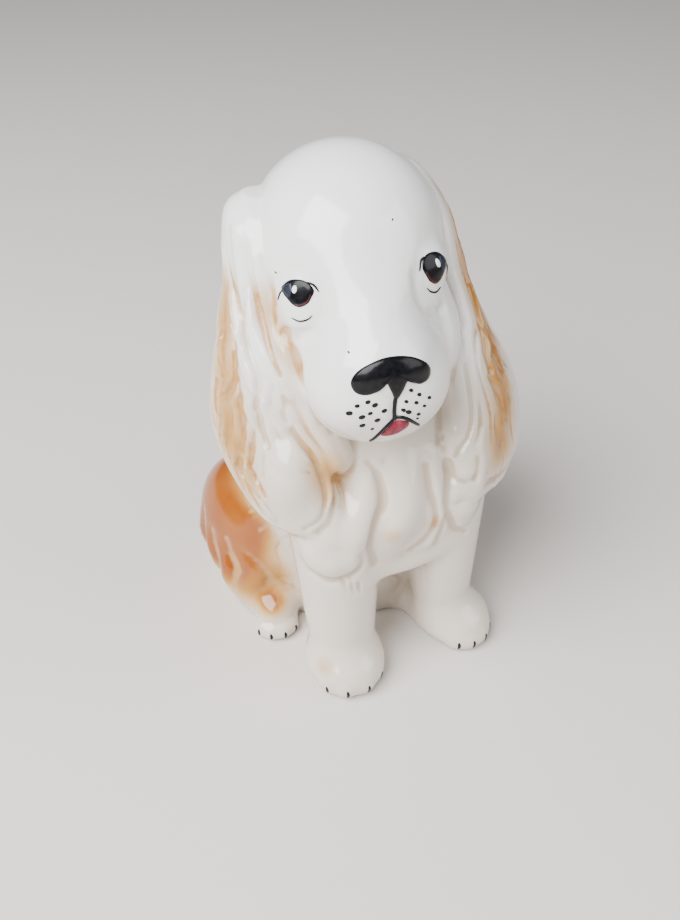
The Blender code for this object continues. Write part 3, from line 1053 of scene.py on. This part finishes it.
def add_eyes(paints):
    """Each eye in layers: black, the grey glint, the maroon rim, the highlight, then lashes and lid."""
    black, grey, maroon, white = (paints[name] for name in ("black", "grey", "maroon", "white"))
    for name, (side, shift, rise, stretch, lid_rise) in EYES.items():
        land = on_eye(side, shift, rise, stretch)
        eye = Enamel(0.35, land)
        eye.patch(EYE)
        eye.finish(name + "_eye_enamel", black, name + "_eye")
        tint = Enamel(0.45, land)
        tint.patch(EYE_GREY)
        tint.finish(name + "_eye_grey", grey)
        rim = Enamel(0.45, land)
        rim.stroke(EYE_RIM, 0.6)
        rim.finish(name + "_eye_rim", maroon)
        shine = Enamel(0.55, land)
        shine.dot(*EYE_SHINE, 1.5, 1.9)
        shine.finish(name + "_eye_highlight", white)
        lashes = Enamel(0.25, land)
        lashes.stroke(OUTER_LASH, 0.55)
        lashes.stroke(INNER_LASH, 0.6)
        lashes.stroke([(x, z + lid_rise) for x, z in LOWER_LID], 0.5)
        lashes.finish(name + "_eye_lashes", black)


def on_toe(centre, forward, ahead):
    """Drops points (across, up) on a toe, from ahead millimetres in front of the middle of its paw."""
    across = np.array([-forward[1], forward[0], 0.0])

    def land(flat):
        flat = np.asarray(flat, float)
        start = np.array([*centre, 0.0]) + forward * ahead + flat[:, :1] * across
        start = start + flat[:, 1:] * UP
        return clay.strike(start, -forward)

    return land


def add_claws(black):
    """One painted stroke down the front of each toe."""
    for part, centre, heading, spread, size in PAWS:
        claws = Enamel(0.2)
        for _, forward in toe_directions(heading, spread):
            claws.land = on_toe(centre, forward, size * 2)
            claws.stroke([(0, size * 0.64), (0.2, size * 0.45), (0, size * 0.24)], 1.15, 0.4)
        claws.finish(part + "_claws", black)


# ------------------------ materials


def new_material(name, colour, roughness):
    material = bpy.data.materials.new(name)
    material.use_nodes = True
    shader = material.node_tree.nodes["Principled BSDF"]
    shader.inputs["Base Color"].default_value = (*colour, 1)
    shader.inputs["Roughness"].default_value = roughness
    shader.inputs["Coat Weight"].default_value = 0.25
    shader.inputs["Coat Roughness"].default_value = 0.06
    return material, shader


BUMP_DEPTH = 0.0004  # metres


class Nodes:
    """Short ways to add nodes to a material."""

    def __init__(self, material):
        self.tree = material.node_tree
        self.coordinates = self.tree.nodes.new("ShaderNodeTexCoord").outputs["Object"]

    def link(self, source, socket):
        self.tree.links.new(source, socket)

    def attribute(self, name):
        node = self.tree.nodes.new("ShaderNodeAttribute")
        node.attribute_name = name
        return node.outputs["Fac"]

    def noise(self, scale, detail=3.0):
        node = self.tree.nodes.new("ShaderNodeTexNoise")
        node.inputs["Scale"].default_value = scale
        node.inputs["Detail"].default_value = detail
        self.link(self.coordinates, node.inputs["Vector"])
        return node.outputs["Fac"]

    def ramp(self, value, low, high, low_out=0.0, high_out=1.0):
        node = self.tree.nodes.new("ShaderNodeMapRange")
        node.interpolation_type = "SMOOTHSTEP"
        numbers = {"From Min": low, "From Max": high, "To Min": low_out, "To Max": high_out}
        for socket, number in numbers.items():
            node.inputs[socket].default_value = number
        self.link(value, node.inputs["Value"])
        return node.outputs["Result"]

    def product(self, first, second):
        node = self.tree.nodes.new("ShaderNodeMath")
        node.operation = "MULTIPLY"
        node.use_clamp = True
        self.link(first, node.inputs[0])
        self.link(second, node.inputs[1])
        return node.outputs[0]

    def mix(self, share, first, second):
        node = self.tree.nodes.new("ShaderNodeMix")
        node.data_type = "RGBA"
        self.link(share, node.inputs["Factor"])
        for socket, value in ((node.inputs["A"], first), (node.inputs["B"], second)):
            if isinstance(value, tuple):
                socket.default_value = (*value, 1)
            else:
                self.link(value, socket)
        return node.outputs["Result"]

    def bump(self, height, strength, shader):
        node = self.tree.nodes.new("ShaderNodeBump")
        node.inputs["Strength"].default_value = strength
        node.inputs["Distance"].default_value = BUMP_DEPTH
        self.link(height, node.inputs["Height"])
        self.link(node.outputs["Normal"], shader.inputs["Normal"])


HEAD_WHITE = (0.86, 0.87, 0.865)
# painted shade and painted warm bounce light: the body's white is darker and warmer than the head's
SHADED_BODY_WHITE = (0.68, 0.605, 0.53)
POOLED_TAN = (0.46, 0.22, 0.045)
# painted shade: the cream that darkens the creases of the lower body
CREASE_SHADE_CREAM = (0.5, 0.4, 0.29)
LIGHT_TAN = (0.52, 0.26, 0.032)
DEEP_TAN = (0.27, 0.06, 0.0005)
BISQUE = (0.74, 0.7, 0.64)
ENAMELS = {
    "black": ("black_enamel", (0.002, 0.002, 0.003), (0.006, 0.006, 0.008)),
    "grey": ("blue_grey_enamel", (0.022, 0.027, 0.042), (0.012, 0.015, 0.024)),
    "maroon": ("maroon_enamel", (0.07, 0.008, 0.012), (0.03, 0.006, 0.009)),
    "white": ("white_enamel", (0.85, 0.86, 0.86), (0.75, 0.77, 0.78)),
    "pink": ("pink_enamel", (0.27, 0.025, 0.05), (0.17, 0.012, 0.028)),
}


def glaze_material():
    """White glaze, darker and warmer down the body as painted shade and painted warm bounce light, with
    airbrushed tan that also settles in the grooves and painted shade in the creases.
    """
    material, shader = new_material("airbrushed_glaze_and_painted_shade", HEAD_WHITE, 0.2)
    nodes = Nodes(material)
    tan, pool_and_crease_shade = nodes.attribute("tan"), nodes.attribute("pool_and_crease_shade")
    cloud = nodes.ramp(nodes.noise(55), 0.3, 0.7, 0.88, 1.0)
    streak = nodes.ramp(nodes.noise(240), 0.35, 0.65, 0.6, 1.0)
    # painted shade and painted warm bounce light: the white darkens and warms down the body
    white = nodes.mix(nodes.attribute("painted_lower_shade"), HEAD_WHITE, SHADED_BODY_WHITE)
    wash = nodes.product(nodes.ramp(tan, 0.05, 0.6), cloud)
    deep = nodes.product(nodes.ramp(tan, 0.4, 0.75), cloud)
    coloured = nodes.mix(deep, nodes.mix(wash, white, LIGHT_TAN), DEEP_TAN)
    # painted shade: cream darkening in the creases, on the lower body only
    crease_shade = nodes.product(nodes.ramp(pool_and_crease_shade, 0.0, 0.7, 0, 0.75), nodes.attribute("painted_lower_shade"))
    coloured = nodes.mix(crease_shade, coloured, CREASE_SHADE_CREAM)
    settled = nodes.product(nodes.ramp(pool_and_crease_shade, 0.05, 0.5), nodes.ramp(tan, 0.04, 0.3, 0.0, 0.95))
    coloured = nodes.mix(nodes.product(settled, streak), coloured, POOLED_TAN)
    bare = nodes.attribute("bare")
    nodes.link(nodes.mix(bare, coloured, BISQUE), shader.inputs["Base Color"])
    nodes.link(nodes.ramp(bare, 0, 1, 0.16, 0.8), shader.inputs["Roughness"])
    nodes.bump(nodes.noise(420, 2.0), 0.12, shader)
    return material


def enamel_material(name, colour, second, roughness=0.25):
    """Brushed enamel: two close colours that mix in soft brush marks."""
    material, shader = new_material(name, colour, roughness)
    shader.inputs["Coat Weight"].default_value = 0.1
    shader.inputs["Specular IOR Level"].default_value = 0.18
    nodes = Nodes(material)
    marks = nodes.ramp(nodes.noise(650), 0.35, 0.7)
    nodes.link(nodes.mix(marks, colour, second), shader.inputs["Base Color"])
    nodes.bump(nodes.noise(900, 2.0), 0.1, shader)
    return material


add_skin(clay, glaze_material())
paints = {paint: enamel_material(*enamel) for paint, enamel in ENAMELS.items()}
add_face(paints)
add_eyes(paints)
add_claws(paints["black"])

# ------------------------ floor, light and camera

CAMERA_AZIMUTH = -21.9
CAMERA_ELEVATION = 39.0
CAMERA_DISTANCE = 328.9
CAMERA_TARGET = (-5.7, -2.0, 56.8)
CAMERA_ROLL = -0.9
CAMERA_LENS = 38.88
FLOOR_SIZE = 3.0
FLOOR_COLOUR = (0.68, 0.64, 0.6)
SKY_COLOUR = (0.80, 0.83, 0.88)
SKY_STRENGTH = 0.3
LIT_POINT = (0, 0, 0.08)
# each softbox: name, place, size, power
SOFTBOXES = [("window", (-0.6, -0.25, 0.75), 0.8, 29), ("fill", (0.6, -0.5, 0.5), 0.6, 4)]


def add_camera():
    camera = bpy.data.cameras.new("camera")
    camera.sensor_width = 36
    camera.lens = CAMERA_LENS
    camera.clip_start = 0.01
    holder = bpy.data.objects.new("camera", camera)
    bpy.context.scene.collection.objects.link(holder)
    turn, rise = math.radians(CAMERA_AZIMUTH), math.radians(CAMERA_ELEVATION)
    back = Vector((math.sin(turn) * math.cos(rise), -math.cos(turn) * math.cos(rise), math.sin(rise)))
    holder.location = place(np.array(CAMERA_TARGET) + np.array(back) * CAMERA_DISTANCE)
    holder.rotation_mode = "QUATERNION"
    roll = Quaternion((0, 0, 1), math.radians(CAMERA_ROLL))
    holder.rotation_quaternion = (-back).to_track_quat("-Z", "Y") @ roll
    bpy.context.scene.camera = holder


def add_softbox(name, location, size, power):
    light = bpy.data.lights.new(name, "AREA")
    light.shape = "RECTANGLE"
    light.size = light.size_y = size
    light.energy = power
    holder = bpy.data.objects.new(name, light)
    holder.location = location
    aim = Vector(LIT_POINT) - Vector(location)
    holder.rotation_euler = aim.to_track_quat("-Z", "Y").to_euler()
    bpy.context.scene.collection.objects.link(holder)


def add_stage():
    """A pale floor, the softboxes and a dim sky."""
    floor_mesh = bpy.data.meshes.new("floor")
    half = FLOOR_SIZE / 2
    corners = [(-half, -half, 0), (half, -half, 0), (half, half, 0), (-half, half, 0)]
    floor_mesh.from_pydata(corners, [], [(0, 1, 2, 3)])
    floor = bpy.data.objects.new("floor", floor_mesh)
    bpy.context.scene.collection.objects.link(floor)
    paint = bpy.data.materials.new("floor")
    paint.use_nodes = True
    shader = paint.node_tree.nodes["Principled BSDF"]
    shader.inputs["Base Color"].default_value = (*FLOOR_COLOUR, 1)
    shader.inputs["Roughness"].default_value = 0.6
    floor_mesh.materials.append(paint)
    for softbox in SOFTBOXES:
        add_softbox(*softbox)
    world = bpy.data.worlds.new("world")
    world.use_nodes = True
    sky = world.node_tree.nodes["Background"]
    sky.inputs["Color"].default_value = (*SKY_COLOUR, 1)
    sky.inputs["Strength"].default_value = SKY_STRENGTH
    bpy.context.scene.world = world


add_camera()
add_stage()
